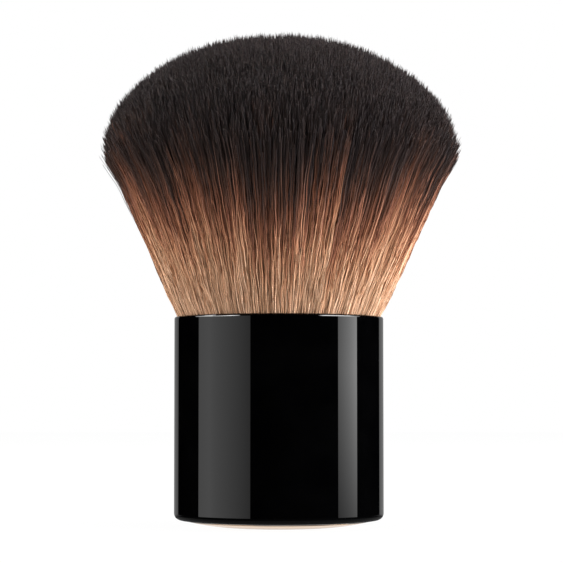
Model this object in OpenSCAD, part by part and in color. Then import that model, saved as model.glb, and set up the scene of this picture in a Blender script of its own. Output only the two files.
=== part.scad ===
// Kabuki makeup brush: a domed head of straight fibres set in a short lacquered handle.
// The origin is the middle of the flat land that the brush stands on, and +Z points to the head.
// All sizes are in millimetres.

/* [Handle] */
// Outer diameter of the lacquered sleeve
sleeve_d = 32; // [28:0.5:40]
// Height of the sleeve from its lower edge to its mouth
sleeve_h = 30.9; // [28.5:0.1:45]
// Wall of the sleeve
sleeve_wall = 1.1; // [0.9:0.1:1.4]
// Radius round the outside of the sleeve's lower edge
foot_r = 1; // [0.4:0.1:1.3]
// Radius round the outside of the sleeve's mouth
lip_r = 0.35; // [0.15:0.05:0.5]
// Wall that is left at the mouth, where the inside flares out for the fibres
lip_wall = 0.45; // [0.3:0.05:0.7]
// Depth of the flare inside the mouth
mouth_flare_h = 1.3; // [0.6:0.1:2]

/* [Bristle head] */
// Height of the head above the sleeve's mouth
head_h = 42.8; // [36:0.1:52]
// Widest diameter of the head
head_d = 55.4; // [44:0.1:64]
// Height of the widest ring above the sleeve's mouth
shoulder_h = 26.5; // [20:0.1:32]
// How far the middle of the dome's ellipse lies below the widest ring
dome_drop = 5.5; // [2:0.1:9]
// Rings of locks round the middle lock, each ring six locks fuller than the last
ring_count = 11; // [10:1:12]
// Share of its own cell that each lock fills
lock_fill = 0.9; // [0.7:0.01:0.94]
// Length over which a lock tapers to its tip
tip_taper = 4; // [3:0.5:10]
// Turn of each ring against the ring inside it, in degrees
ring_turn = 137.5; // [0:0.5:180]

/* [Ferrule and root] */
// Depth of the ferrule cup's rim below the sleeve's mouth
cup_drop = 2.3; // [1.8:0.1:3.5]
// Inside depth of the ferrule cup
cup_depth = 13; // [10:0.5:14]
// Wall of the drawn ferrule cup
cup_wall = 0.4; // [0.3:0.05:0.6]
// Thickness of the slice of resin that the locks stand on
slice_t = 0.8; // [0.5:0.1:1.5]
// Diameter of the thread that binds the fibre roots
thread_d = 0.8; // [0.5:0.1:1.2]
// Turns of the binding thread
thread_turns = 7; // [4:1:8]
// Height of the binding's lowest turn above the cup's floor
binding_lift = 2.5; // [1:0.5:3]

/* [Core and weight] */
// Diameter of the steel weight
weight_d = 20; // [12:0.5:23]
// Height of the steel weight
weight_h = 7; // [4:0.5:7.5]
// Width of each glue groove round the core
groove_w = 1.4; // [0.8:0.1:1.8]
// Depth of each glue groove
groove_depth = 0.4; // [0.2:0.05:0.6]
// Chamfer round the ends of the core, the weight and the base cap
chamfer = 0.5; // [0.2:0.1:0.8]

/* [Base] */
// Thickness of the base cap, recess included
cap_t = 2.8; // [2:0.1:3.5]
// How far the base disc's edge lies inside the sleeve's outside
disc_inset = 2.1; // [1.9:0.1:4]
// Thickness of the base disc at its edge
disc_edge_t = 1; // [0.8:0.1:1.5]
// How far that edge stands out below the sleeve
disc_stand = 0.2; // [0.1:0.05:0.9]
// Height of the crown from the disc's edge down to its flat land
disc_crown = 0.85; // [0.4:0.05:1.2]
// Diameter of the flat land that the brush stands on
land_d = 14; // [8:0.5:18]
// Thickness of the adhesive film above the disc
film_t = 0.2; // [0.1:0.05:0.4]
// How far the film's edge lies inside the disc's edge
film_inset = 0.6; // [0.3:0.1:1.5]

/* [Fits] */
// Radial gap between the sleeve and what is pushed into it
fit_gap = 0.05; // [0.02:0.01:0.15]
// Gap where something is glued or wound in
bond_gap = 0.05; // [0.02:0.01:0.15]

/* [Hidden] */

// Facets round a full turn, and steps in a quarter of a rounded edge
round_fn = 56;
edge_steps = 5;
crown_steps = 7;
slice_fn = 48;
$fn = round_fn;

// Least share of a wall that stays flat beside a rounded edge
flat_share = 0.08;

// How far a cutting tool runs past what it cuts
overrun = 1;

// Radii of the handle, from the outside in
sleeve_r = sleeve_d / 2;
sleeve_in_r = sleeve_r - sleeve_wall;
insert_r = sleeve_in_r - fit_gap;
cup_in_r = insert_r - cup_wall;
bundle_r = cup_in_r - bond_gap;
foot_round = min(foot_r, sleeve_wall * (1 - flat_share));
lip_round = min(lip_r, lip_wall * (1 - flat_share));

// Radii of the base
disc_r = sleeve_r - disc_inset;
recess_r = disc_r + bond_gap;
film_r = disc_r - film_inset;
land_r = land_d / 2;

// Heights, from the surface that the brush stands on
disc_edge_z = disc_crown;
sleeve_z = disc_crown + disc_stand;
disc_top_z = disc_crown + disc_edge_t;
recess_top_z = disc_top_z + film_t;
cap_top_z = sleeve_z + cap_t;
mouth_z = sleeve_z + sleeve_h;
root_z = mouth_z - cup_drop;
slice_z = root_z - slice_t;
cup_floor_z = root_z - cup_depth;
core_top_z = cup_floor_z - cup_wall;
binding_z = cup_floor_z + binding_lift;

// The fan of the locks: its radius at the shoulder, and how much it widens per millimetre
shoulder_r = head_d / 2;
shoulder_z = mouth_z + shoulder_h;
top_z = mouth_z + head_h;
fan_slope = (shoulder_r - bundle_r) / (shoulder_z - root_z);

// The dome's ellipse, which meets the fan at the shoulder
dome_z = shoulder_z - dome_drop;
dome_h = top_z - dome_z;
dome_r = shoulder_r / sqrt(1 - pow(dome_drop / dome_h, 2));

// Round corners of the cup, outside and inside
cup_corner_r = 2 * cup_wall;
cup_fillet_r = cup_wall;

// Steps round the outside of one turn of thread, and how far round each turn shows, in degrees
turn_steps = 3;
turn_reach = 80;

// Depth to which the locks are fused into their slice
lock_sink = slice_t / 2;
lock_sides = 4;
locks_per_ring = 6;

// Points of a round corner about [cx, cz], from angle a0 to angle a1
function arc(cx, cz, r, a0, a1, steps) = [
    for (i = [0 : steps]) let (a = a0 + (a1 - a0) * i / steps) [cx + r * cos(a), cz + r * sin(a)]
];

// Radius of the fan of locks at height z
function fan_r(z) = bundle_r + (z - root_z) * fan_slope;

// Height at which the line that keeps to share u of the fan's radius meets the dome
function tip_z(u) =
    let (
        mid_r = fan_r(dome_z),
        a = pow(u * fan_slope / dome_r, 2) + 1 / pow(dome_h, 2),
        b = 2 * u * u * mid_r * fan_slope / pow(dome_r, 2),
        c = pow(u * mid_r / dome_r, 2) - 1
    )
    dome_z + (sqrt(b * b - 4 * a * c) - b) / (2 * a);

// Four corners of a lock of ring k at height z, pointing along angle turn
function lock_section(k, turn, z) =
    let (
        pitch = fan_r(z) / (ring_count + 0.5),
        middle = k * pitch,
        half_r = lock_fill * pitch / 2,
        half_t = lock_fill * pitch * PI / locks_per_ring
    )
    [
        for (c = [[-1, -1], [1, -1], [1, 1], [-1, 1]])
            let (x = middle + c[0] * half_r, y = c[1] * half_t)
            [x * cos(turn) - y * sin(turn), x * sin(turn) + y * cos(turn), z]
    ];

// Lacquered metal sleeve: the grip, with a rounded foot and a mouth that flares inside
module handle_sleeve() {
    foot = arc(sleeve_r - foot_round, sleeve_z + foot_round, foot_round, -90, 0, edge_steps);
    lip = arc(sleeve_r - lip_round, mouth_z - lip_round, lip_round, 0, 90, edge_steps);
    color([0.04, 0.04, 0.045])
    rotate_extrude()
    polygon(concat(
        [[sleeve_in_r, sleeve_z]],
        foot,
        lip,
        [[sleeve_r - lip_wall, mouth_z], [sleeve_in_r, mouth_z - mouth_flare_h]]
    ));
}

// Drawn aluminium cup that clamps the fibre roots, pushed into the sleeve
module ferrule_cup() {
    color([0.8, 0.8, 0.82])
    rotate_extrude()
    polygon(concat(
        [[0, core_top_z]],
        arc(insert_r - cup_corner_r, core_top_z + cup_corner_r, cup_corner_r, -90, 0, edge_steps),
        [[insert_r, root_z], [cup_in_r, root_z]],
        arc(cup_in_r - cup_fillet_r, cup_floor_z + cup_fillet_r, cup_fillet_r, 0, -90, edge_steps),
        [[0, cup_floor_z]]
    ));
}

// Set resin that holds the fibre roots, with a groove where the thread is wound
module root_plug() {
    groove_z = binding_z - bond_gap;
    groove_top_z = binding_z + thread_turns * thread_d + bond_gap;
    groove_r = bundle_r - thread_d - bond_gap;
    color([0.72, 0.55, 0.3])
    rotate_extrude()
    polygon([
        [0, cup_floor_z],
        [bundle_r - cup_fillet_r, cup_floor_z],
        [bundle_r, cup_floor_z + cup_fillet_r],
        [bundle_r, groove_z],
        [groove_r, groove_z],
        [groove_r, groove_top_z],
        [bundle_r, groove_top_z],
        [bundle_r, slice_z],
        [0, slice_z]
    ]);
}

// Waxed thread wound side by side round the fibre roots, its turns fused into one band
module root_binding() {
    thread_r = thread_d / 2;
    inner_r = bundle_r - thread_d;
    turns = [
        for (i = [0 : thread_turns - 1])
            each arc(
                bundle_r - thread_r, binding_z + (i + 0.5) * thread_d, thread_r,
                -turn_reach, turn_reach, turn_steps
            )
    ];
    color([0.9, 0.88, 0.8])
    rotate_extrude()
    polygon(concat(
        [[inner_r, binding_z]],
        turns,
        [[inner_r, binding_z + thread_turns * thread_d]]
    ));
}

// One lock of ring k: straight, four-sided and drawn out to a point on the dome
module lock(k, turn) {
    u = k / ring_count;
    end_z = tip_z(u);
    end_r = u * fan_r(end_z);
    low = lock_section(k, turn, root_z - lock_sink);
    high = lock_section(k, turn, end_z - tip_taper);
    tip = [end_r * cos(turn), end_r * sin(turn), end_z];
    last = 2 * lock_sides;
    polyhedron(
        concat(low, high, [tip]),
        concat(
            [[0, 1, 2], [0, 2, 3]],
            [for (i = [0 : lock_sides - 1]) [i, i + lock_sides, (i + 1) % lock_sides]],
            [for (i = [0 : lock_sides - 1])
                [(i + 1) % lock_sides, i + lock_sides, (i + 1) % lock_sides + lock_sides]],
            [for (i = [0 : lock_sides - 1])
                [i + lock_sides, last, (i + 1) % lock_sides + lock_sides]]
        )
    );
}

// The fibre head as locks in rings, all fused to the slice of resin that they grow from
module bristles() {
    color([0.42, 0.29, 0.21])
    union() {
        translate([0, 0, slice_z])
        cylinder(h = slice_t, r = bundle_r, $fn = slice_fn);
        lock(0, 0);
        for (k = [1 : ring_count])
            for (i = [0 : locks_per_ring * k - 1])
                lock(k, k * ring_turn + 360 * i / (locks_per_ring * k));
    }
}

// Moulded core that fills the sleeve between cup and cap, with a pocket for the weight
module core_insert() {
    core_h = core_top_z - cap_top_z;
    color([0.2, 0.2, 0.21])
    difference() {
        translate([0, 0, cap_top_z])
        rotate_extrude()
        polygon([
            [0, 0], [insert_r - chamfer, 0], [insert_r, chamfer],
            [insert_r, core_h - chamfer], [insert_r - chamfer, core_h], [0, core_h]
        ]);
        translate([0, 0, cap_top_z - overrun])
        cylinder(h = weight_h + bond_gap + overrun, r = weight_d / 2 + bond_gap);
        for (share = [1 / 3, 2 / 3])
            translate([0, 0, cap_top_z + share * core_h - groove_w / 2])
            difference() {
                cylinder(h = groove_w, r = insert_r + overrun);
                translate([0, 0, -overrun])
                cylinder(h = groove_w + 2 * overrun, r = insert_r - groove_depth);
            }
    }
}

// Steel slug that gives the handle its heft and stands on the base cap
module weight_slug() {
    weight_r = weight_d / 2;
    color([0.6, 0.61, 0.63])
    translate([0, 0, cap_top_z])
    rotate_extrude()
    polygon([
        [0, 0], [weight_r - chamfer, 0], [weight_r, chamfer],
        [weight_r, weight_h - chamfer], [weight_r - chamfer, weight_h], [0, weight_h]
    ]);
}

// Black cap that closes the sleeve, with a shallow recess for the disc on its lower face
module base_cap() {
    color([0.05, 0.05, 0.055])
    rotate_extrude()
    polygon([
        [0, recess_top_z], [recess_r, recess_top_z], [recess_r, sleeve_z], [insert_r, sleeve_z],
        [insert_r, cap_top_z - chamfer], [insert_r - chamfer, cap_top_z], [0, cap_top_z]
    ]);
}

// Double-sided adhesive film between the disc and the cap
module disc_adhesive() {
    color([0.85, 0.85, 0.82])
    translate([0, 0, disc_top_z])
    cylinder(h = film_t, r = film_r);
}

// Pale gold disc: crowned towards a flat land in the middle, where the brush stands
module base_disc() {
    crown = [
        for (i = [1 : crown_steps])
            let (s = i / crown_steps)
            [land_r + (disc_r - land_r) * s, disc_edge_z * s * s]
    ];
    color([0.92, 0.8, 0.66])
    rotate_extrude()
    polygon(concat([[0, 0], [land_r, 0]], crown, [[disc_r, disc_top_z], [0, disc_top_z]]));
}

handle_sleeve();
ferrule_cup();
root_plug();
root_binding();
bristles();
core_insert();
weight_slug();
base_cap();
disc_adhesive();
base_disc();
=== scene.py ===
# %% [markdown]
# # A kabuki makeup brush
# This lesson dresses a packed construction model of a kabuki brush: a short gloss black handle, a pale
# gold disc under it and a domed head of fibre that is nearly black at the tips and tan at the roots.
# The construction model stays the frame of everything, so it is loaded first and its box is noted.

# %% Load the frame
import math

import bmesh
import bpy
import numpy as np
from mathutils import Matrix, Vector, kdtree


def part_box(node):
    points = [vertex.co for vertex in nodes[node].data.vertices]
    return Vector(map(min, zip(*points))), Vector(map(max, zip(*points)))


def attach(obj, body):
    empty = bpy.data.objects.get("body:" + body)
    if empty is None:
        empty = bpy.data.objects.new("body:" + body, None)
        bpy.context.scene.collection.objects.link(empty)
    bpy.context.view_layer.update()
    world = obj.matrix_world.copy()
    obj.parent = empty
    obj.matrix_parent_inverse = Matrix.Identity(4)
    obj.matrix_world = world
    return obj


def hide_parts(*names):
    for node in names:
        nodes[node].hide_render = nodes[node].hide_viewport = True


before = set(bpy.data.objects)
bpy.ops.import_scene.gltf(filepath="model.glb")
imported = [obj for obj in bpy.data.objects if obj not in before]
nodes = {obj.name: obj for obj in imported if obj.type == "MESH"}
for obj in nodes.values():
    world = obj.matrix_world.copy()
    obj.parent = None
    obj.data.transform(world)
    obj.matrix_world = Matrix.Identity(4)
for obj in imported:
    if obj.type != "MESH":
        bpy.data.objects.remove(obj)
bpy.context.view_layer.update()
MM = 0.001

# %% [markdown]
# ## Camera
# The photograph looks at the brush from straight ahead, a little above the table. Its distance comes from
# the arcs of the rim and the base: near a camera they bulge more. The camera is tilted up instead of
# shifted, so that the same lens works from every other side too. The pixel values are measured on the
# photograph: its width, the brush's axis, the row level with the lens, and the scale at the axis.

# %% Place the camera
PHOTO_PX = 563
AXIS_PX = 278.85
HORIZON_PX = 394.9
PX_PER_MM = 6.53
CAMERA_DISTANCE = 320.9 * MM
CAMERA_HEIGHT = 20.05 * MM
SENSOR_MM = 36
NEAREST_SEEN = 10 * MM

focal_px = PX_PER_MM * CAMERA_DISTANCE / MM
tilt = math.atan((HORIZON_PX - PHOTO_PX / 2) / focal_px)
side_step = (PHOTO_PX / 2 - AXIS_PX) / PX_PER_MM * MM

camera_data = bpy.data.cameras.new("camera")
camera_data.sensor_width = SENSOR_MM
camera_data.lens = focal_px * math.cos(tilt) / PHOTO_PX * SENSOR_MM
camera_data.clip_start = NEAREST_SEEN
camera = bpy.data.objects.new("camera", camera_data)
camera.location = (side_step, -CAMERA_DISTANCE, CAMERA_HEIGHT)
camera.rotation_euler = (math.pi / 2 + tilt, 0, 0)
bpy.context.scene.collection.objects.link(camera)
bpy.context.scene.camera = camera
bpy.context.scene.view_settings.view_transform = "Standard"
print("lens", round(camera_data.lens, 1), "mm, tilted up", round(math.degrees(tilt), 2), "degrees")

# %% [markdown]
# ## Helpers for nodes
# Materials are small networks of nodes, so one helper adds a node, sets its sockets and joins it to
# others. A socket is given a value or another node's output. The other helpers are the few networks that
# come back again and again: a ramp, a sum, a stretched range and a mix of two shaders.

# %% Node helpers
def grey(strength):
    """A linear grey, from 0 for black to 1 for white."""
    return (strength, strength, strength, 1)


def add_node(tree, kind, sockets=(), **settings):
    """Adds a node of that kind. Each socket gets a value, or a link where it is given an output."""
    new = tree.nodes.new(kind)
    for key, value in settings.items():
        setattr(new, key, value)
    for key, value in dict(sockets).items():
        if isinstance(value, bpy.types.NodeSocket):
            tree.links.new(value, new.inputs[key])
        else:
            new.inputs[key].default_value = value
    return new


def new_material(name):
    """An empty material: its tree and its output node."""
    material = bpy.data.materials.new(name)
    material.use_nodes = True
    material.node_tree.nodes.clear()
    output = material.node_tree.nodes.new("ShaderNodeOutputMaterial")
    return material, material.node_tree, output


def colour_ramp(tree, factor, stops):
    """A colour ramp with a stop for every (place, linear colour)."""
    ramp = add_node(tree, "ShaderNodeValToRGB", {"Fac": factor})
    elements = ramp.color_ramp.elements
    while len(elements) < len(stops):
        elements.new(1)
    for element, (place, colour) in zip(elements, stops):
        element.position = place
        element.color = colour
    return ramp.outputs["Color"]


def maths(tree, operation, *values):
    """The output of a Math node that works on values or on other nodes' outputs."""
    return add_node(tree, "ShaderNodeMath", dict(enumerate(values)), operation=operation).outputs[0]


def map_range(tree, value, before, after):
    """Stretches a value from one range to another, held at the ends."""
    stretched = add_node(tree, "ShaderNodeMapRange", {"Value": value})
    for socket, limit in zip(("From Min", "From Max", "To Min", "To Max"), before + after):
        stretched.inputs[socket].default_value = limit
    return stretched.outputs["Result"]


def mix_shaders(tree, factor, first, second):
    """The first shader where the factor is 0, and the second where it is 1."""
    return add_node(tree, "ShaderNodeMixShader", {0: factor, 1: first, 2: second}).outputs[0]


print("node helpers are ready, and a grey of 0.5 is", grey(0.5))

# %% [markdown]
# ## The world
# The brush stands in a white world, which only the camera sees as white. Everything else gets a weak fill
# from it, and mirrors see darkness, because the gloss black handle would show a white world all over.

# %% White world
FILL_LIGHT = 0.16

world = bpy.data.worlds.new("white_world")
bpy.context.scene.world = world
world.use_nodes = True
tree = world.node_tree
tree.nodes.clear()
path = add_node(tree, "ShaderNodeLightPath")
dark = add_node(tree, "ShaderNodeBackground", {"Color": grey(0)})
fill = add_node(tree, "ShaderNodeBackground", {"Color": grey(1), "Strength": FILL_LIGHT})
white = add_node(tree, "ShaderNodeBackground", {"Color": grey(1), "Strength": 1})
unseen = mix_shaders(tree, path.outputs["Is Glossy Ray"], fill.outputs[0], dark.outputs[0])
sky = mix_shaders(tree, path.outputs["Is Camera Ray"], unseen, white.outputs[0])
add_node(tree, "ShaderNodeOutputWorld", {"Surface": sky})
print("world: white to the camera, fill light", FILL_LIGHT)

# %% [markdown]
# ## The floor
# To the camera the floor is nearly all its own even glow, so that it is as pale as the world behind it.
# The rest is paint, which takes a faint shade under the brush. Mirror rays pass through the floor, which
# keeps the dark bands of the handle dark. Only a round card of it, under the brush, stops them, and the
# card's rings of glow are what the crowned gold disc mirrors.

# %% Floor
FLOOR_SIZE = 1.6
FLOOR_PAINT = 0.9
FLOOR_GLOW = 0.93
GLOW_STRENGTH = 1.04
CARD_R = 40 * MM
CARD_EDGE = 0.95
# Strengths of the card's glow, each at its radius in millimetres.
CARD_GLOW = (
    (0, 0.7), (9.8, 0.7), (10.6, 0.92), (13.2, 0.92), (14, 0.13), (17, 0.1), (22, 0),
    (26, 0.3), (38, 0.3),
)


def deselect_all():
    """Operators act on all that is selected, and the loaded nodes still are."""
    if bpy.context.object and bpy.context.object.mode != "OBJECT":
        bpy.ops.object.mode_set(mode="OBJECT")
    bpy.ops.object.select_all(action="DESELECT")


deselect_all()
bpy.ops.mesh.primitive_plane_add(size=FLOOR_SIZE, location=(0, 0, 0))
floor = bpy.context.object
floor.name = "floor"
floor_material, tree, output = new_material("white_floor")
path = add_node(tree, "ShaderNodeLightPath")
paint = add_node(tree, "ShaderNodeBsdfDiffuse", {"Color": grey(FLOOR_PAINT)})
glow = add_node(tree, "ShaderNodeEmission", {"Color": grey(1), "Strength": GLOW_STRENGTH})
clear = add_node(tree, "ShaderNodeBsdfTransparent")
place = add_node(tree, "ShaderNodeTexCoord")
reach = add_node(tree, "ShaderNodeVectorMath", {0: place.outputs["Object"]}, operation="LENGTH")
span = maths(tree, "DIVIDE", reach.outputs["Value"], CARD_R)
card_stops = [(radius * MM / CARD_R, grey(strength)) for radius, strength in CARD_GLOW]
card = add_node(tree, "ShaderNodeEmission", {"Color": colour_ramp(tree, span, card_stops)})
on_card = map_range(tree, span, (CARD_EDGE, 1), (1, 0))
amount = maths(tree, "MULTIPLY", path.outputs["Is Camera Ray"], FLOOR_GLOW)
lit = mix_shaders(tree, amount, paint.outputs[0], glow.outputs[0])
mirrored = mix_shaders(tree, on_card, clear.outputs[0], card.outputs[0])
surface = mix_shaders(tree, path.outputs["Is Glossy Ray"], lit, mirrored)
tree.links.new(surface, output.inputs["Surface"])
floor.data.materials.append(floor_material)
print("floor", FLOOR_SIZE, "m wide, at the height that the brush stands on")

# %% [markdown]
# ## The panels
# The handle is an upright mirror, so each band on it is a panel at the matching angle: a broad one on the
# left, a narrow and brighter one on the right, and darkness between them. A dim card behind the brush
# shows in the handle's two rims. Each of the three goes on below the floor, which the rounded foot
# mirrors, and for a higher camera the whole handle. The strips above the panels are what the rounded lip
# mirrors. No panel shows or casts a shadow, and the low and high ones light nothing but mirrors.

# %% Panels
PANEL_DISTANCE = 0.5
PANEL_HEIGHTS = (-0.036, 0.16)
LOW_HEIGHTS = (-0.6, -0.036)
STRIP_HEIGHTS = (0.125, 0.42)
FULL_GLOW_HEIGHT = 0.03
LEAST_RISE = 1 * MM
LEFT_ANGLES = (-96.5, -30.4)
RIGHT_ANGLES = (66.6, 93.3)
BACK_ANGLES = (217, 143)
LEFT_STRIP_ANGLES = (-104, -43)
RIGHT_STRIP_ANGLES = (45, 100)
RIGHT_BOTTOM_SHARE = 0.2
# Strengths of glow, each at its place from 0 to 1 along the panel.
LEFT_GLOW = ((0, 1.0), (0.27, 1.38), (0.56, 1.1), (1, 0.56))
LEFT_LOW_GLOW = ((0, 1.0), (0.27, 1.38), (1, 0.56))
RIGHT_GLOW = ((0, 1.95), (1, 4.3))
RIGHT_LOW_GLOW = ((0, 1), (1, 2.2))
BACK_GLOW = ((0, 0.28), (1, 0.4))
LEFT_STRIP_GLOW = ((0, 3), (0.2, 8), (0.35, 13), (0.8, 30), (1, 3))
RIGHT_STRIP_GLOW = ((0, 2), (0.12, 20), (0.5, 18), (0.7, 12), (0.85, 5), (1, 2))


def around(angle, distance):
    """A point of the floor plan. Angle 0 is towards the camera, and it grows towards the right."""
    turn = math.radians(angle)
    return Vector((distance * math.sin(turn), -distance * math.cos(turn), 0))


def panel_glow(name, heights, glow, bottom_share, diffuse):
    """Light of those strengths along a panel. It rises from bottom_share of them at the foot."""
    low, high = heights
    material, tree, output = new_material(name)
    place = add_node(tree, "ShaderNodeTexCoord")
    parts = add_node(tree, "ShaderNodeSeparateXYZ", {0: place.outputs["Object"]})
    along = maths(tree, "ADD", parts.outputs["X"], 0.5)
    peak = max(strength for _, strength in glow)
    shares = [(spot, grey(strength / peak)) for spot, strength in glow]
    full = (max(FULL_GLOW_HEIGHT, low + LEAST_RISE) - low) / (high - low) - 0.5
    rise = map_range(tree, parts.outputs["Y"], (-0.5, full), (peak * bottom_share, peak))
    colour = colour_ramp(tree, along, shares)
    light = add_node(tree, "ShaderNodeEmission", {"Color": colour, "Strength": rise})
    tree.links.new(light.outputs[0], output.inputs["Surface"])
    if not diffuse:
        material.cycles.emission_sampling = "NONE"
    return material


def glowing_panel(name, angles, heights, glow, bottom_share=1.0, diffuse=True):
    """An upright plane of unit size, stretched between two angles and two heights."""
    start, end = (around(angle, PANEL_DISTANCE) for angle in angles)
    run = end - start
    low, high = heights
    deselect_all()
    bpy.ops.mesh.primitive_plane_add(size=1, location=(0, 0, 0))
    panel = bpy.context.object
    panel.name = name
    panel.scale = (run.length, high - low, 1)
    panel.rotation_euler = (math.pi / 2, 0, math.atan2(run.y, run.x))
    panel.location = (start + end) / 2 + Vector((0, 0, (low + high) / 2))
    panel.data.materials.append(panel_glow(name, heights, glow, bottom_share, diffuse))
    panel.visible_camera = False
    panel.visible_diffuse = diffuse
    panel.visible_shadow = False


glowing_panel("left_panel", LEFT_ANGLES, PANEL_HEIGHTS, LEFT_GLOW)
glowing_panel("right_panel", RIGHT_ANGLES, PANEL_HEIGHTS, RIGHT_GLOW, bottom_share=RIGHT_BOTTOM_SHARE)
glowing_panel("back_card", BACK_ANGLES, PANEL_HEIGHTS, BACK_GLOW)
glowing_panel("left_low_panel", LEFT_ANGLES, LOW_HEIGHTS, LEFT_LOW_GLOW, diffuse=False)
glowing_panel("right_low_panel", RIGHT_ANGLES, LOW_HEIGHTS, RIGHT_LOW_GLOW, diffuse=False)
glowing_panel("back_low_card", BACK_ANGLES, LOW_HEIGHTS, BACK_GLOW, diffuse=False)
glowing_panel("left_strip", LEFT_STRIP_ANGLES, STRIP_HEIGHTS, LEFT_STRIP_GLOW, diffuse=False)
glowing_panel("right_strip", RIGHT_STRIP_ANGLES, STRIP_HEIGHTS, RIGHT_STRIP_GLOW, diffuse=False)
print("two panels and a back card, each with a low part, and two strips, at", PANEL_DISTANCE, "m")

# %% [markdown]
# ## The lamps
# Fibre isn't a mirror, so soft lamps light it, which no mirror shows: a weak one overhead for the dome,
# and a long one on each side, whose light rakes across the crimps. The right one is stronger and cooler,
# because the fibre's right side is the brightest on the photograph.

# %% Lamps
LAMPS_AIM = Vector((0, 0, 0.04))


def soft_lamp(name, place, size, watts, colour):
    """An area lamp aimed at the middle of the brush."""
    data = bpy.data.lights.new(name, "AREA")
    data.shape = "RECTANGLE"
    data.size, data.size_y = size
    data.energy = watts
    data.color = colour
    lamp = bpy.data.objects.new(name, data)
    lamp.location = place
    aim = LAMPS_AIM - Vector(place)
    lamp.rotation_euler = aim.to_track_quat("-Z", "Y").to_euler()
    lamp.visible_glossy = False
    bpy.context.scene.collection.objects.link(lamp)


soft_lamp("top_lamp", place=(0, 0.05, 0.75), size=(0.5, 0.5), watts=1.5, colour=(1, 1, 1))
soft_lamp("left_lamp", place=(-0.75, -0.12, 0.15), size=(0.8, 0.4), watts=6.2, colour=(1.02, 1, 0.98))
soft_lamp("right_lamp", place=(0.73, -0.2, 0.11), size=(0.8, 0.22), watts=13.0, colour=(0.97, 1, 1.03))
print("a lamp overhead and one on each side")

# %% [markdown]
# ## Fine wear, shared by the hard finishes
# Even a polished surface isn't perfectly even: handling leaves faint smears that only a reflection shows.
# The hard finishes share this effect, so it is one node group, which each material gives its own scale
# and amount.

# %% Fine wear group
NOISE_SPAN = (0.3, 0.7)


def fine_wear_group():
    """A group that gives a roughness that wanders about a base value, from the object's own place."""
    group = bpy.data.node_groups.new("fine_wear", "ShaderNodeTree")
    for name, default in (("Scale", 300.0), ("Base", 0.03), ("Amount", 0.02)):
        socket = group.interface.new_socket(name=name, in_out="INPUT", socket_type="NodeSocketFloat")
        socket.default_value = default
    for name in ("Roughness", "Smear"):
        group.interface.new_socket(name=name, in_out="OUTPUT", socket_type="NodeSocketFloat")
    entry = group.nodes.new("NodeGroupInput")
    leave = group.nodes.new("NodeGroupOutput")
    place = add_node(group, "ShaderNodeTexCoord")
    smear = add_node(
        group, "ShaderNodeTexNoise",
        {
            "Vector": place.outputs["Object"], "Scale": entry.outputs["Scale"],
            "Detail": 4, "Distortion": 0.6,
        },
    )
    swing = maths(group, "MULTIPLY", smear.outputs["Fac"], entry.outputs["Amount"])
    total = maths(group, "ADD", swing, entry.outputs["Base"])
    group.links.new(total, leave.inputs["Roughness"])
    group.links.new(smear.outputs["Fac"], leave.inputs["Smear"])
    return group


FINE_WEAR = fine_wear_group()


def worn_finish(name, dark_colour, light_colour, scale, base, amount, metallic=0.0):
    """A hard finish whose roughness and colour wander a little, the colour between two linear ones."""
    material, tree, output = new_material(name)
    wear = add_node(
        tree, "ShaderNodeGroup", {"Scale": scale, "Base": base, "Amount": amount}, node_tree=FINE_WEAR
    )
    colour = colour_ramp(tree, wear.outputs["Smear"], list(zip(NOISE_SPAN, (dark_colour, light_colour))))
    shader = add_node(
        tree, "ShaderNodeBsdfPrincipled",
        {"Base Color": colour, "Roughness": wear.outputs["Roughness"], "Metallic": metallic},
    )
    tree.links.new(shader.outputs[0], output.inputs["Surface"])
    return material


def dress(node, material):
    """Gives a construction node a better finish, its shape left as it is."""
    for place in nodes[node].material_slots:
        place.material = material
    print(node, "wears", material.name)


print("fine wear has the sockets", [socket.name for socket in FINE_WEAR.interface.items_tree])

# %% [markdown]
# ## Colours
# A colour is easiest to choose as the eye reads it on a screen, in 0 to 255 a channel. Shaders work in
# linear values, which follow the amount of light, so one helper turns the first into the second.

# %% Screen colours
def linear(red, green, blue):
    """A screen colour of 0 to 255 a channel as linear values, by the standard curve of screens."""
    channels = [c / 255 for c in (red, green, blue)]
    return tuple(c / 12.92 if c <= 0.04045 else ((c + 0.055) / 1.055) ** 2.4 for c in channels) + (1,)


print("a middle grey of the screen is", round(linear(128, 128, 128)[0], 3), "in linear values")

# %% [markdown]
# ## The hard parts
# The handle is a metal tube in deep black lacquer, so its colour is almost nothing and its roughness is
# that of a mirror. The parts inside can't be seen, but a model that comes apart shows them, so each has
# the finish of its own stuff.

# %% Finishes of the handle and what it holds
LACQUER_DARK = (0.0003, 0.0003, 0.0004, 1)
LACQUER_LIGHT = (0.0008, 0.0008, 0.0009, 1)
CAP_DARK = (0.006, 0.006, 0.0065, 1)
CAP_LIGHT = (0.012, 0.012, 0.013, 1)

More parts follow.
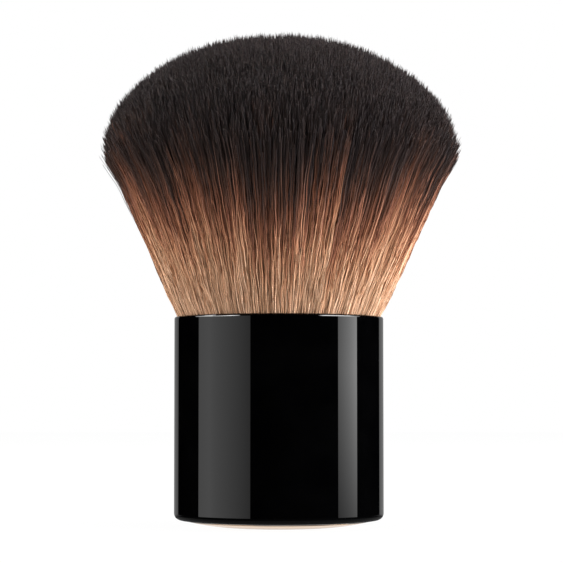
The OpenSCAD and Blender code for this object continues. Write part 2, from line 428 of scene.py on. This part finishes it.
lacquer = worn_finish("black_lacquer", LACQUER_DARK, LACQUER_LIGHT, scale=160, base=0.006, amount=0.01)
dress("handle_sleeve", lacquer)
cap_black = worn_finish("cap_black", CAP_DARK, CAP_LIGHT, scale=500, base=0.22, amount=0.15)
dress("base_cap", cap_black)
aluminium = worn_finish(
    "drawn_aluminium", linear(190, 191, 195), linear(222, 223, 226),
    scale=900, base=0.22, amount=0.2, metallic=1.0,
)
dress("ferrule_cup", aluminium)
steel = worn_finish(
    "turned_steel", linear(150, 152, 156), linear(186, 188, 192),
    scale=700, base=0.25, amount=0.2, metallic=1.0,
)
dress("weight_slug", steel)
core_plastic = worn_finish(
    "core_plastic", linear(38, 38, 40), linear(54, 54, 57), scale=1200, base=0.45, amount=0.2
)
dress("core_insert", core_plastic)
resin = worn_finish(
    "set_resin", linear(150, 108, 58), linear(198, 158, 98), scale=400, base=0.2, amount=0.2
)
dress("root_plug", resin)
film = worn_finish(
    "adhesive_film", linear(205, 204, 196), linear(228, 227, 220), scale=1500, base=0.5, amount=0.2
)
dress("disc_adhesive", film)

# %% [markdown]
# ## The thread
# The thread round the roots is twisted from plies, which slant along each of its turns. Bands that slant
# across all three axes stand for them, in the colour and as a bump, because the turns are too fine to
# have plies of their own.

# %% Waxed thread
def thread_finish():
    """Waxed thread, whose plies are slanting bands."""
    material, tree, output = new_material("waxed_thread")
    place = add_node(tree, "ShaderNodeTexCoord")
    plies = add_node(
        tree, "ShaderNodeTexWave",
        {"Vector": place.outputs["Object"], "Scale": 1400, "Distortion": 2, "Detail": 2},
        bands_direction="DIAGONAL",
    )
    colour = colour_ramp(
        tree, plies.outputs["Fac"], [(0, linear(196, 188, 160)), (1, linear(232, 227, 206))]
    )
    bump = add_node(tree, "ShaderNodeBump", {"Height": plies.outputs["Fac"], "Distance": 0.03 * MM})
    shader = add_node(
        tree, "ShaderNodeBsdfPrincipled",
        {"Base Color": colour, "Roughness": 0.55, "Normal": bump.outputs["Normal"]},
    )
    tree.links.new(shader.outputs[0], output.inputs["Surface"])
    return material


dress("root_binding", thread_finish())

# %% [markdown]
# ## The gold disc
# The disc under the brush was turned on a lathe and anodised a pale gold. The tool leaves fine rings about
# the axis, so the pattern reads only the distance from it, and the wear of the other metals lies over it.

# %% Pale gold disc
def gold_finish():
    """Pale gold anodised metal, turned on a lathe: fine rings about the brush's own axis."""
    material, tree, output = new_material("pale_gold")
    place = add_node(tree, "ShaderNodeTexCoord")
    flat = add_node(
        tree, "ShaderNodeVectorMath", {0: place.outputs["Object"], 1: (1, 1, 0)}, operation="MULTIPLY"
    )
    radius = add_node(tree, "ShaderNodeVectorMath", {0: flat.outputs[0]}, operation="LENGTH")
    rings = add_node(
        tree, "ShaderNodeTexNoise",
        {"W": radius.outputs["Value"], "Scale": 6000, "Detail": 3}, noise_dimensions="1D",
    )
    wear = add_node(
        tree, "ShaderNodeGroup", {"Scale": 400, "Base": 0.13, "Amount": 0.08}, node_tree=FINE_WEAR
    )
    golds = (linear(224, 177, 132), linear(240, 198, 152))
    colour = colour_ramp(tree, rings.outputs["Fac"], list(zip(NOISE_SPAN, golds)))
    bump = add_node(tree, "ShaderNodeBump", {"Height": rings.outputs["Fac"], "Distance": 0.004 * MM})
    shader = add_node(
        tree, "ShaderNodeBsdfPrincipled",
        {
            "Base Color": colour, "Metallic": 1.0, "Roughness": wear.outputs["Roughness"],
            "Normal": bump.outputs["Normal"],
        },
    )
    tree.links.new(shader.outputs[0], output.inputs["Surface"])
    return material


dress("base_disc", gold_finish())

# %% [markdown]
# ## The shape of the head
# Fibres stand side by side in the ferrule and fan out above the mouth, each keeping its share of the
# fan's radius. They are cut to a dome, here an ellipse that the fan meets at the widest ring. The sizes
# that the frame holds are read from it, and the others are written as on a drawing.

# %% Fan and dome
ROOT_BELOW_MOUTH = 2.3 * MM
BUNDLE_R = 14.4 * MM
SHOULDER_ABOVE_MOUTH = 26.5 * MM
DOME_DROP = 5.5 * MM

fibre_low, fibre_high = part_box("bristles")
mouth_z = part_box("handle_sleeve")[1][2]
top_z = fibre_high[2]
root_z = mouth_z - ROOT_BELOW_MOUTH
shoulder_z = mouth_z + SHOULDER_ABOVE_MOUTH
shoulder_r = fibre_high[0]
fan_slope = (shoulder_r - BUNDLE_R) / (shoulder_z - root_z)
dome_z = shoulder_z - DOME_DROP
dome_h = top_z - dome_z
dome_r = shoulder_r / math.sqrt(1 - (DOME_DROP / dome_h) ** 2)


def fan_radius(z):
    """Radius of the whole fan at height z."""
    return BUNDLE_R + (z - root_z) * fan_slope


def tip_height(share):
    """Height at which a fibre that keeps to this share of the fan's radius meets the dome.

    The fibre's radius is linear in the height and the dome is an ellipse, so the height above dome_z is
    the greater root of a quadratic.
    """
    middle = fan_radius(dome_z)
    a = (share * fan_slope / dome_r) ** 2 + 1 / dome_h ** 2
    b = 2 * share ** 2 * middle * fan_slope / dome_r ** 2
    c = (share * middle / dome_r) ** 2 - 1
    return dome_z + (np.sqrt(b * b - 4 * a * c) - b) / (2 * a)


print("fan widens", round(fan_slope, 3), "mm a mm")
print("dome of", round(dome_r / MM, 1), "by", round(dome_h / MM, 1), "mm")

# %% [markdown]
# ## One fibre
# A fibre is a thin round hair with a drawn-out tip. It is modelled once, as a three-sided prism of unit
# size: cut into rings, narrowed towards the top and closed in a point. Three sides are enough for
# something thinner than a pixel, and smooth shading rounds them. The outer fibres show all their crimps
# and get many rings. The inner ones, of which only the ends show, get three. An edit-mode operator acts on
# what is selected, so a helper selects by a test of each point's or face's place.

# %% Model one fibre
FIBRE_SIDES = 3
TAPER_FROM = 0.8
LAST_RING = 0.985
TIP_WIDTH = 0.85
TOUCHING = 1e-5


def select_where(piece, test, what="verts"):
    """In edit mode, selects the vertices, edges or faces for which test(element) is true."""
    mesh = bmesh.from_edit_mesh(piece.data)
    for element in list(mesh.verts) + list(mesh.edges) + list(mesh.faces):
        element.select = False
    for element in getattr(mesh, what):
        if test(element):
            element.select_set(True)
    mesh.select_flush_mode()
    bmesh.update_edit_mesh(piece.data)


def fibre_width(level):
    """Width at a level from 0, the root, to the last ring, as a share of the full width."""
    return 1 - (1 - TIP_WIDTH) * max(0, (level - TAPER_FROM) / (LAST_RING - TAPER_FROM))


def model_fibre(name, levels):
    """A pointed fibre of unit radius and length, with a ring at each level but the last, its tip."""
    deselect_all()
    bpy.ops.mesh.primitive_cylinder_add(vertices=FIBRE_SIDES, radius=1, depth=1, location=(0, 0, 0.5))
    bpy.ops.object.transform_apply(location=True, rotation=True, scale=True)
    fibre = bpy.context.object
    fibre.name = name
    bpy.ops.object.mode_set(mode="EDIT")
    for level in levels[1:-1]:
        bpy.ops.mesh.select_all(action="SELECT")
        bpy.ops.mesh.bisect(plane_co=(0, 0, level), plane_no=(0, 0, 1))
    for level in levels[1:-1]:
        select_where(fibre, lambda v: abs(v.co.z - level) < TOUCHING)
        width = fibre_width(level)
        bpy.ops.transform.resize(value=(width, width, 1), center_override=(0, 0, level))
    select_where(fibre, lambda v: v.co.z > 1 - TOUCHING)
    bpy.ops.mesh.merge(type="CENTER")
    bpy.ops.object.mode_set(mode="OBJECT")
    return fibre


def ring_levels(count, crowd):
    """Levels of the rings and of the tip. A crowd above 1 draws them to the root, below 1 to the tip."""
    return [round((i / (count - 1)) ** crowd * LAST_RING, 5) for i in range(count)] + [1]


LEVELS = {
    "outer": ring_levels(count=24, crowd=1.25),
    "middle": ring_levels(count=8, crowd=1.1),
    "inner": ring_levels(count=3, crowd=0.3),
}
templates = {}
for layer, levels in LEVELS.items():
    templates[layer] = model_fibre(layer + "_fibre", levels)
    print(layer, "fibre:", len(templates[layer].data.polygons), "faces")

# %% [markdown]
# ## Where the fibres stand
# A sunflower's spiral packs points evenly in a disc, and a little scatter hides the spiral. Each layer
# has its own spiral between two radii. Every fibre also belongs to a lock, the nearest of a coarser set of
# points, and every lock to a tuft. Fibres of one lock lean together, share a crimp and were dyed to a
# like height, and that gives the streaks and the dark gaps between them.

# %% Pack the roots and gather the locks
MIDDLE_FROM = 0.84
OUTER_FROM = 0.93
# Fibres of each layer, and the shares of the radius that it lies between.
PACKING = {
    "outer": (6220, OUTER_FROM, 1),
    "middle": (8500, MIDDLE_FROM, OUTER_FROM),
    "inner": (42000, 0, MIDDLE_FROM),
}
LOCKS = 7000
TUFTS = 260
ROOT_SCATTER = 0.35
CENTRE_SCATTER = 0.4
SEED = 11
GOLDEN_ANGLE = math.pi * (3 - math.sqrt(5))
rng = np.random.default_rng(SEED)


def sunflower(count, scatter, start=0, end=1):
    """Points evenly packed between two radii of the unit disc, each moved by a share of their spacing."""
    i = np.arange(count) + 0.5
    area = end ** 2 - start ** 2
    radius = np.sqrt(start ** 2 + area * i / count)
    turn = i * GOLDEN_ANGLE
    points = np.stack([radius * np.cos(turn), radius * np.sin(turn)], axis=1)
    points += rng.normal(size=points.shape) * scatter * math.sqrt(math.pi * area / count)
    length = np.linalg.norm(points, axis=1, keepdims=True)
    return points * np.minimum(1, 1 / length)


def nearest(points, centres):
    """Index of the nearest centre for each point."""
    tree = kdtree.KDTree(len(centres))
    for index, (x, y) in enumerate(centres):
        tree.insert((x, y, 0), index)
    tree.balance()
    return np.array([tree.find((x, y, 0))[1] for x, y in points])


roots = np.concatenate(
    [sunflower(count, ROOT_SCATTER, start, end) for count, start, end in PACKING.values()]
)
FIBRES = len(roots)
lock_centres = sunflower(LOCKS, CENTRE_SCATTER)
tuft_centres = sunflower(TUFTS, CENTRE_SCATTER)
lock_of = nearest(roots, lock_centres)
tuft_of_lock = nearest(lock_centres, tuft_centres)
print(FIBRES, "fibres in", LOCKS, "locks")

# %% [markdown]
# ## What each fibre does in its own way
# No two fibres are alike: each has its own thickness, length, crimp and dye, and the outermost ones have
# the most scatter. All of it is drawn here, once, from fixed seeds, so every run gives the same brush.
# The dye has a seed of its own, picked out of 300,000 because its dye line at the front is like the
# photograph's. At the sides and the back the line is left to chance. In the table of habits, a line that
# ends in MM holds millimetres, and the others hold shares or angles.

# %% Each fibre's own habits
FULL_TURN = 2 * math.pi
EDGE_FROM = 0.8
DYE_SEED = 188611
TIP_LIFT = -0.08 * MM
DOME_FULLNESS = 0.3 * MM
FULLNESS_ENDS = 0.95
CORNER_DROP = 2.3 * MM
CORNER_FROM = 0.82
STRAY_CHANCE = 0.02
INNER_THICKNESS = 1.1
# In millimetres.
THINNEST_R = 0.037
DIP_WAVE = 1.4
TUFT_DYE = 1.7
LOCK_DYE = 1.2
FIBRE_DYE = 2.1

share = np.linalg.norm(roots, axis=1)
bearing = np.arctan2(roots[:, 1], roots[:, 0])
outward = np.clip((share - EDGE_FROM) / (1 - EDGE_FROM), 0, 1) ** 2
corner = np.clip((share - CORNER_FROM) / (1 - CORNER_FROM), 0, 1) ** 2
thickness = np.where(share < MIDDLE_FROM, INNER_THICKNESS, 1)
dye_rng = np.random.default_rng(DYE_SEED)


def per_fibre(low, high):
    """An even draw for every fibre."""
    return rng.uniform(low, high, FIBRES)


def per_lock(low, high):
    """An even draw for every lock, which all its fibres share."""
    return rng.uniform(low, high, LOCKS)[lock_of]


def fibre_scatter():
    """A bell-shaped draw about 0 for every fibre."""
    return rng.normal(size=FIBRES)


def lock_scatter():
    """A bell-shaped draw about 0 for every lock."""
    return rng.normal(size=LOCKS)[lock_of]


def mostly_small(typical):
    """A draw above 0 for every fibre, typically up to twice that value and now and then far more."""
    return rng.gamma(shape=2.0, scale=typical, size=FIBRES)


def towards_edge(middle, more):
    """A value in the middle of the head, and what is added to it at the widest ring."""
    return middle + more * outward


habits = {
    "radius": (THINNEST_R + mostly_small(0.009)) * thickness * MM,
    "tip": (
        TIP_LIFT - CORNER_DROP * corner
        + DOME_FULLNESS * np.sin(math.pi * np.minimum(share / FULLNESS_ENDS, 1))
        + lock_scatter() * towards_edge(middle=0.07, more=0.35) * MM
        + np.clip(fibre_scatter(), -2.5, 2.2) * towards_edge(middle=0.36, more=0.25) * MM
    ),
    "gather": per_lock(0.0, 0.35) * per_fibre(0.3, 1.2),
    "tip_gather": towards_edge(middle=0.1, more=0.4) * per_fibre(0.3, 1.2),
    "crimp": per_lock(0.04, 0.18) * MM,
    "crimp_step": per_lock(3.8, 7.0) * MM,
    "crimp_turn": per_lock(0, FULL_TURN),
    "crimp_phase": per_lock(0, FULL_TURN) + fibre_scatter() * 0.5,
    "frizz": mostly_small(0.02) * MM,
    "frizz_step": per_fibre(3.0, 6.0) * MM,
    "frizz_turn": per_fibre(0, FULL_TURN),
    "frizz_phase": per_fibre(0, FULL_TURN),
    "wander": mostly_small(0.09) * MM,
    "wander_step": per_fibre(11, 22) * MM,
    "wander_turn": per_fibre(0, FULL_TURN),
    "wander_phase": per_fibre(0, FULL_TURN),
    "spin": per_fibre(0, FULL_TURN),
    "shade": np.clip(0.5 + 0.12 * lock_scatter() + 0.2 * fibre_scatter(), 0.02, 0.98),
    "dye": (
        -DIP_WAVE * np.cos(2 * (bearing + math.pi / 2))
        + TUFT_DYE * dye_rng.normal(size=TUFTS)[tuft_of_lock][lock_of]
        + LOCK_DYE * dye_rng.normal(size=LOCKS)[lock_of]
        + FIBRE_DYE * fibre_scatter()
    ) * MM,
    "splay": rng.normal(size=(FIBRES, 2)) * 0.12 * MM,
    "stray": np.where(rng.random(FIBRES) < STRAY_CHANCE * outward, per_fibre(0.2, 0.8), 0) * MM,
}
print("median fibre width", round(2 * float(np.median(habits["radius"])) / MM, 3), "mm")
print("strays:", int((habits["stray"] > 0).sum()))

# %% [markdown]
# ## The path of a fibre
# Each path is worked out ring by ring: the fan carries it outwards, its lock draws it in halfway up and
# lets it go again, and the crimp swings it from side to side, most of all in the lower half. Nothing
# swings inside the ferrule, where the resin holds the roots. Near the end the fibres splay, those at the
# widest ring flare out to a corner, a few stray past it, and the whole head leans a little to the right.

# %% Work out the paths
ROOT_DEPTH = 0.4 * MM
CRIMP_STARTS = 1.5 * MM
CRIMP_FULL = 5.0 * MM
CRIMP_FADES = 26.0 * MM
CRIMP_LOST = 0.75
GATHER_ENDS = 0.75
SPLAY_FROM = 0.8
LIP_SPILL = 0.08 * MM
SPILL_REACH = 3.5 * MM
SPILL_POWER = 4
CORNER_FLARE = 0.5 * MM
FLARE_FROM = 0.85
FLARE_POWER = 10
STRAY_POWER = 3
SIDE_LEAN = 0.3 * MM
LEAN_REACH = 43 * MM


def smooth_step(value):
    """0 below 0, 1 above 1, and an S between."""
    value = np.clip(value, 0, 1)
    return value * value * (3 - 2 * value)


def run_up(value, start):
    """0 below the start, 1 at 1, and an S between."""
    return smooth_step((value - start) / (1 - start))


def swing(size, step, phase, turn, z):
    """A sideways swing of that size and step along z, in the direction turn."""
    wave = size[:, None] * np.sin(FULL_TURN * z / step[:, None] + phase[:, None])
    return np.stack([wave * np.cos(turn)[:, None], wave * np.sin(turn)[:, None]], axis=2)


def fibre_paths(which, levels):
    """Points of the chosen fibres' paths, a row of len(levels) points each."""
    h = {key: value[which] for key, value in habits.items()}
    t = np.array(levels)[None, :]
    centre = lock_centres[lock_of[which]]
    gather = h["gather"][:, None] * np.sin(math.pi * np.minimum(t / GATHER_ENDS, 1))
    gather = gather + h["tip_gather"][:, None] * run_up(t, GATHER_ENDS)
    plan = roots[which][:, None, :] + gather[:, :, None] * (centre - roots[which])[:, None, :]
    tip = tip_height(np.minimum(np.linalg.norm(plan[:, -1], axis=1), 1)) + h["tip"]
    start = root_z - ROOT_DEPTH
    z = start + (tip - start)[:, None] * t
    above = z - mouth_z
    loose = smooth_step((above + CRIMP_STARTS) / CRIMP_FULL)
    calm = 1 - CRIMP_LOST * smooth_step((above - CRIMP_FULL) / CRIMP_FADES)
    sway = sum(
        swing(h[kind], h[kind + "_step"], h[kind + "_phase"], h[kind + "_turn"], z)
        for kind in ("crimp", "frizz", "wander")
    )
    radius = fan_radius(z)
    spill = LIP_SPILL * np.exp(-((above - SPILL_REACH / 2) / SPILL_REACH) ** 2)
    flare = CORNER_FLARE * run_up(t, FLARE_FROM)
    stray = h["stray"][:, None] * t ** STRAY_POWER
    outer = np.linalg.norm(plan, axis=2)
    spread = radius + spill * outer ** SPILL_POWER + flare * outer ** FLARE_POWER + stray
    splay = h["splay"][:, None, :] * run_up(t, SPLAY_FROM)[:, :, None]
    flat = plan * spread[:, :, None] + sway * (loose * calm)[:, :, None] + splay
    flat[:, :, 0] += SIDE_LEAN * np.sin(math.pi * np.clip(above / LEAN_REACH, 0, 1))
    return np.concatenate([flat, z[:, :, None]], axis=2)


trial = fibre_paths(np.arange(1), LEVELS["outer"])[0]
print("first outer fibre, from", np.round(trial[0] / MM, 1), "to", np.round(trial[-1] / MM, 1), "mm")

# %% [markdown]
# ## Laying the fibres
# Tens of thousands of separate objects would choke any program, so the copies are joined: each piece is
# one mesh that holds a copy of the template along every path of its sector. The copies also carry a map of
# their own, named as the export wants it. Across, it runs with the fibre's shade, and up, with the height
# that its dye has reached, so that one pattern over the map colours them all.

# %% Lay copies along paths
DYE_LOW = -3.3 * MM
DYE_HIGH = 46.7 * MM
SHADE_WIDTH = 0.004
MAP_ENDS = (0.003, 0.997)
MAP_NAME = "OFBake"


def template_arrays(fibre, levels):
    """The template's vertices, the ring of each, its faces and each corner's place round it."""
    mesh = fibre.data
    points = np.array([v.co for v in mesh.vertices])
    ring = np.abs(points[:, 2][:, None] - np.array(levels)[None, :]).argmin(axis=1)
    faces, around_it = [], []
    for face in mesh.polygons:
        corners = list(face.vertices)
        turns = [math.atan2(points[c, 1], points[c, 0]) / FULL_TURN % 1 for c in corners]
        if max(turns) - min(turns) > 0.5:
            turns = [turn + 1 if turn < 0.5 else turn for turn in turns]
        middle = sum(turns) / len(turns)
        near_axis = [np.hypot(*points[c, :2]) < TOUCHING for c in corners]
        around_it += [middle if at_tip else turn for turn, at_tip in zip(turns, near_axis)]
        faces.append(corners)
    return points, ring, faces, np.array(around_it)


def mesh_of_copies(name, places, faces):
    """A mesh with the template's faces on each row of places, and the corners of one copy."""
    count, per_copy = places.shape[:2]
    corners = np.concatenate(faces)
    sizes = np.tile([len(face) for face in faces], count)
    all_corners = (corners[None, :] + per_copy * np.arange(count)[:, None]).ravel()
    mesh = bpy.data.meshes.new(name)
    mesh.vertices.add(count * per_copy)
    mesh.vertices.foreach_set("co", places.astype(np.float32).ravel())
    mesh.loops.add(len(all_corners))
    mesh.loops.foreach_set("vertex_index", all_corners.astype(np.int32))
    mesh.polygons.add(len(sizes))
    mesh.polygons.foreach_set("loop_start", np.r_[0, np.cumsum(sizes)[:-1]].astype(np.int32))
    mesh.polygons.foreach_set("use_smooth", np.ones(len(sizes), bool))
    mesh.update(calc_edges=True)
    return mesh, corners


def lay_fibres(name, layer, which, material):
    """One mesh with a copy of the layer's template along the path of each chosen fibre."""
    levels = LEVELS[layer]
    points, ring, faces, around_it = template_arrays(templates[layer], levels)
    h = {key: value[which] for key, value in habits.items()}
    cos, sin = np.cos(h["spin"])[:, None], np.sin(h["spin"])[:, None]
    across_x = points[None, :, 0] * cos - points[None, :, 1] * sin
    across_y = points[None, :, 0] * sin + points[None, :, 1] * cos
    places = fibre_paths(which, levels)[:, ring, :]
    places[:, :, 0] += across_x * h["radius"][:, None]
    places[:, :, 1] += across_y * h["radius"][:, None]
    mesh, corners = mesh_of_copies(name, places, faces)
    above = places[:, corners, 2] - mouth_z
    dyed = (above - h["dye"][:, None] - DYE_LOW) / (DYE_HIGH - DYE_LOW)
    across = h["shade"][:, None] + SHADE_WIDTH * (around_it[None, :] - 0.5)
    uv = np.stack([across, np.clip(dyed, *MAP_ENDS)], axis=2)
    layer_map = mesh.uv_layers.new(name=MAP_NAME)
    layer_map.data.foreach_set("uv", uv.astype(np.float32).ravel())
    piece = bpy.data.objects.new(name, mesh)
    bpy.context.scene.collection.objects.link(piece)
    mesh.materials.append(material)
    return piece


print("the map", MAP_NAME, "covers", round((DYE_HIGH - DYE_LOW) / MM, 1), "mm of the fibre's height")

# %% [markdown]
# ## The colour of the fibres
# The fibre is tan at the root, turns through copper to red brown and ends nearly black: white fibre that
# was dipped in dye. The ramp runs with the dyed height, and a noise along the shade makes some fibres pale
# and others red. A finer noise paints glints and shade on the dark tips: light and dark specks that stand
# in for the lit tips and shaded gaps of the more and thinner fibres that a real head has there. All of it
# comes from the fibre's own map, so nothing moves when the brush is turned.

# %% Fibre finish
# Each stop has its height above the mouth in millimetres.
DYE_STOPS = (
    (-1.3, (200, 162, 132)),
    (2.7, (209, 169, 139)),
    (6.2, (206, 163, 130)),
    (9.7, (190, 139, 107)),
    (12.7, (166, 114, 87)),
    (15.7, (130, 83, 64)),
    (18.7, (90, 62, 51)),
    (22.7, (57, 45, 42)),
    (27.7, (40, 34, 34)),
    (38.7, (38, 32, 32)),
    (45.7, (43, 36, 36)),
)
SHADE_SPREAD = (
    (-3.3, 1.0), (11.7, 1.0), (16.7, 0.85), (21.7, 0.35), (27.7, 0.12), (32.7, 0.15), (36.7, 0.18),
)
# Painted glints and shade on the dark tips: how strongly, at each height above the mouth in millimetres,
# and how far and how finely they lighten and darken.
TIP_GLINT_SHADE = ((28.7, 0.0), (33.7, 1.1))
TONE_SWING = (-0.62, 0.72)
GLINT_SHADE_SWING = (-1, 1.3)
GLINT_SHADE_SCALE = (90, 240, 0)
WARM = (1.1, 0.97, 0.85, 1)
COOL = (0.93, 1.01, 1.07, 1)
WARM_TO = 0.32
COOL_FROM = 0.68


def dye_place(height):
    """Where on the map that height in millimetres above the mouth is."""
    return (height * MM - DYE_LOW) / (DYE_HIGH - DYE_LOW)


def grey_ramp(tree, factor, stops):
    """A ramp of plain strengths over the dyed height, listed as (height, strength)."""
    return colour_ramp(tree, factor, [(dye_place(height), grey(strength)) for height, strength in stops])


def fibre_tone(tree, uv, parts):
    """The noise of a fibre's shade, and how much its shade and the painted glints and shade on its tips
    lighten or darken it.
    """
    tone = add_node(
        tree, "ShaderNodeTexNoise", {"W": parts.outputs["X"], "Scale": 40, "Detail": 1},
        noise_dimensions="1D",
    )
    # Painted glints and shade: a fine noise over the map that lightens and darkens the tips in short
    # specks.
    glint_place = add_node(tree, "ShaderNodeVectorMath", {0: uv, 1: GLINT_SHADE_SCALE}, operation="MULTIPLY")
    glint_noise = add_node(
        tree, "ShaderNodeTexNoise", {"Vector": glint_place.outputs[0], "Scale": 1, "Detail": 0},
        noise_dimensions="2D",
    )
    spread = grey_ramp(tree, parts.outputs["Y"], SHADE_SPREAD)
    glint_shade_amount = grey_ramp(tree, parts.outputs["Y"], TIP_GLINT_SHADE)
    lightness = map_range(tree, tone.outputs["Fac"], NOISE_SPAN, TONE_SWING)
    glint_shade = map_range(tree, glint_noise.outputs["Fac"], NOISE_SPAN, GLINT_SHADE_SWING)
    shift = maths(tree, "MULTIPLY", lightness, spread)
    with_glint_shade = maths(tree, "MULTIPLY_ADD", glint_shade, glint_shade_amount, shift)
    return tone, maths(tree, "ADD", with_glint_shade, 1)


def fibre_finish():
    """Two-tone fibre, coloured from its own map."""
    material, tree, output = new_material("two_tone_fibre")
    place = add_node(tree, "ShaderNodeUVMap", uv_map=MAP_NAME)
    parts = add_node(tree, "ShaderNodeSeparateXYZ", {0: place.outputs["UV"]})
    dye_stops = [(dye_place(height), linear(*colour)) for height, colour in DYE_STOPS]
    dyed = colour_ramp(tree, parts.outputs["Y"], dye_stops)
    tone, total = fibre_tone(tree, place.outputs["UV"], parts)
    warm = colour_ramp(tree, tone.outputs["Fac"], [(WARM_TO, WARM), (COOL_FROM, COOL)])
    tinted = add_node(tree, "ShaderNodeVectorMath", {0: dyed, 1: warm}, operation="MULTIPLY")
    scaled = add_node(
        tree, "ShaderNodeVectorMath", {0: tinted.outputs[0], "Scale": total}, operation="SCALE"
    )
    shader = add_node(
        tree, "ShaderNodeBsdfPrincipled",
        {"Base Color": scaled.outputs[0], "Roughness": 0.5, "Specular IOR Level": 0.18},
    )
    tree.links.new(shader.outputs[0], output.inputs["Surface"])
    return material


fibre_material = fibre_finish()
dress("bristles", fibre_material)

# %% [markdown]
# ## The whole head
# Three layers, each in sectors of less than 200,000 triangles: the outer one that the side shows, one
# behind it that closes the gaps, and the inner fibres whose ends make the dome. A fibre's layer follows
# from where it stands after the scatter.

# %% Lay all layers
MOST_TRIANGLES = 190000

fibre_pieces = []
limit = math.inf
for layer, (_, start, _) in PACKING.items():
    chosen = np.flatnonzero((share >= start) & (share < limit))
    limit = start
    chosen = chosen[np.argsort(bearing[chosen])]
    triangles = sum(len(face.vertices) - 2 for face in templates[layer].data.polygons) * len(chosen)
    sectors = math.ceil(triangles / MOST_TRIANGLES)
    for number, part in enumerate(np.array_split(chosen, sectors), 1):
        fibre_pieces.append(lay_fibres(f"{layer}_fibres_{number}", layer, part, fibre_material))
    print(layer, "layer:", len(chosen), "fibres in", sectors, "pieces,", triangles, "triangles")
for template in templates.values():
    bpy.data.objects.remove(template)

# %% [markdown]
# ## The resin at the roots
# Between the roots the resin shows as a shallow pool just below the mouth. It starts as a disc, whose top
# is inset and pressed down, because resin climbs the wall of the cup while it sets.

# %% Resin pool
RESIN_SEGMENTS = 64
RESIN_CLIMB = 0.25 * MM
RESIN_STEPS = 3
RESIN_INSET = 0.5 * MM
SMOOTH_BELOW = math.radians(40)
FACING_UP = 0.9


def resin_pool():
    """A disc with a raised rim, between the top of the root plug and the fibre roots."""
    low = fibre_low[2]
    deselect_all()
    bpy.ops.mesh.primitive_cylinder_add(
        vertices=RESIN_SEGMENTS, radius=BUNDLE_R, depth=root_z - low, location=(0, 0, (low + root_z) / 2)
    )
    bpy.ops.object.transform_apply(location=True, rotation=True, scale=True)
    pool = bpy.context.object
    pool.name = "resin_pool"
    bpy.ops.object.mode_set(mode="EDIT")
    for step in range(RESIN_STEPS):
        select_where(pool, lambda f: f.normal.z > FACING_UP and len(f.verts) == RESIN_SEGMENTS, "faces")
        bpy.ops.mesh.inset(thickness=RESIN_INSET, depth=-RESIN_CLIMB / (step + 2))
    bpy.ops.object.mode_set(mode="OBJECT")
    bpy.ops.object.shade_smooth_by_angle(angle=SMOOTH_BELOW)
    pool.data.materials.append(resin)
    return pool


pool = resin_pool()
fibre_pieces.append(pool)
print("resin pool:", len(pool.data.polygons), "faces")

# %% [markdown]
# ## Joining the frame
# Every piece rides on the one body of the brush. Together they stand for the frame's simple locks, which
# stay in the physics model and are hidden here.

# %% Ride and replace
for piece in fibre_pieces:
    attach(piece, "root")
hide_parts("bristles")
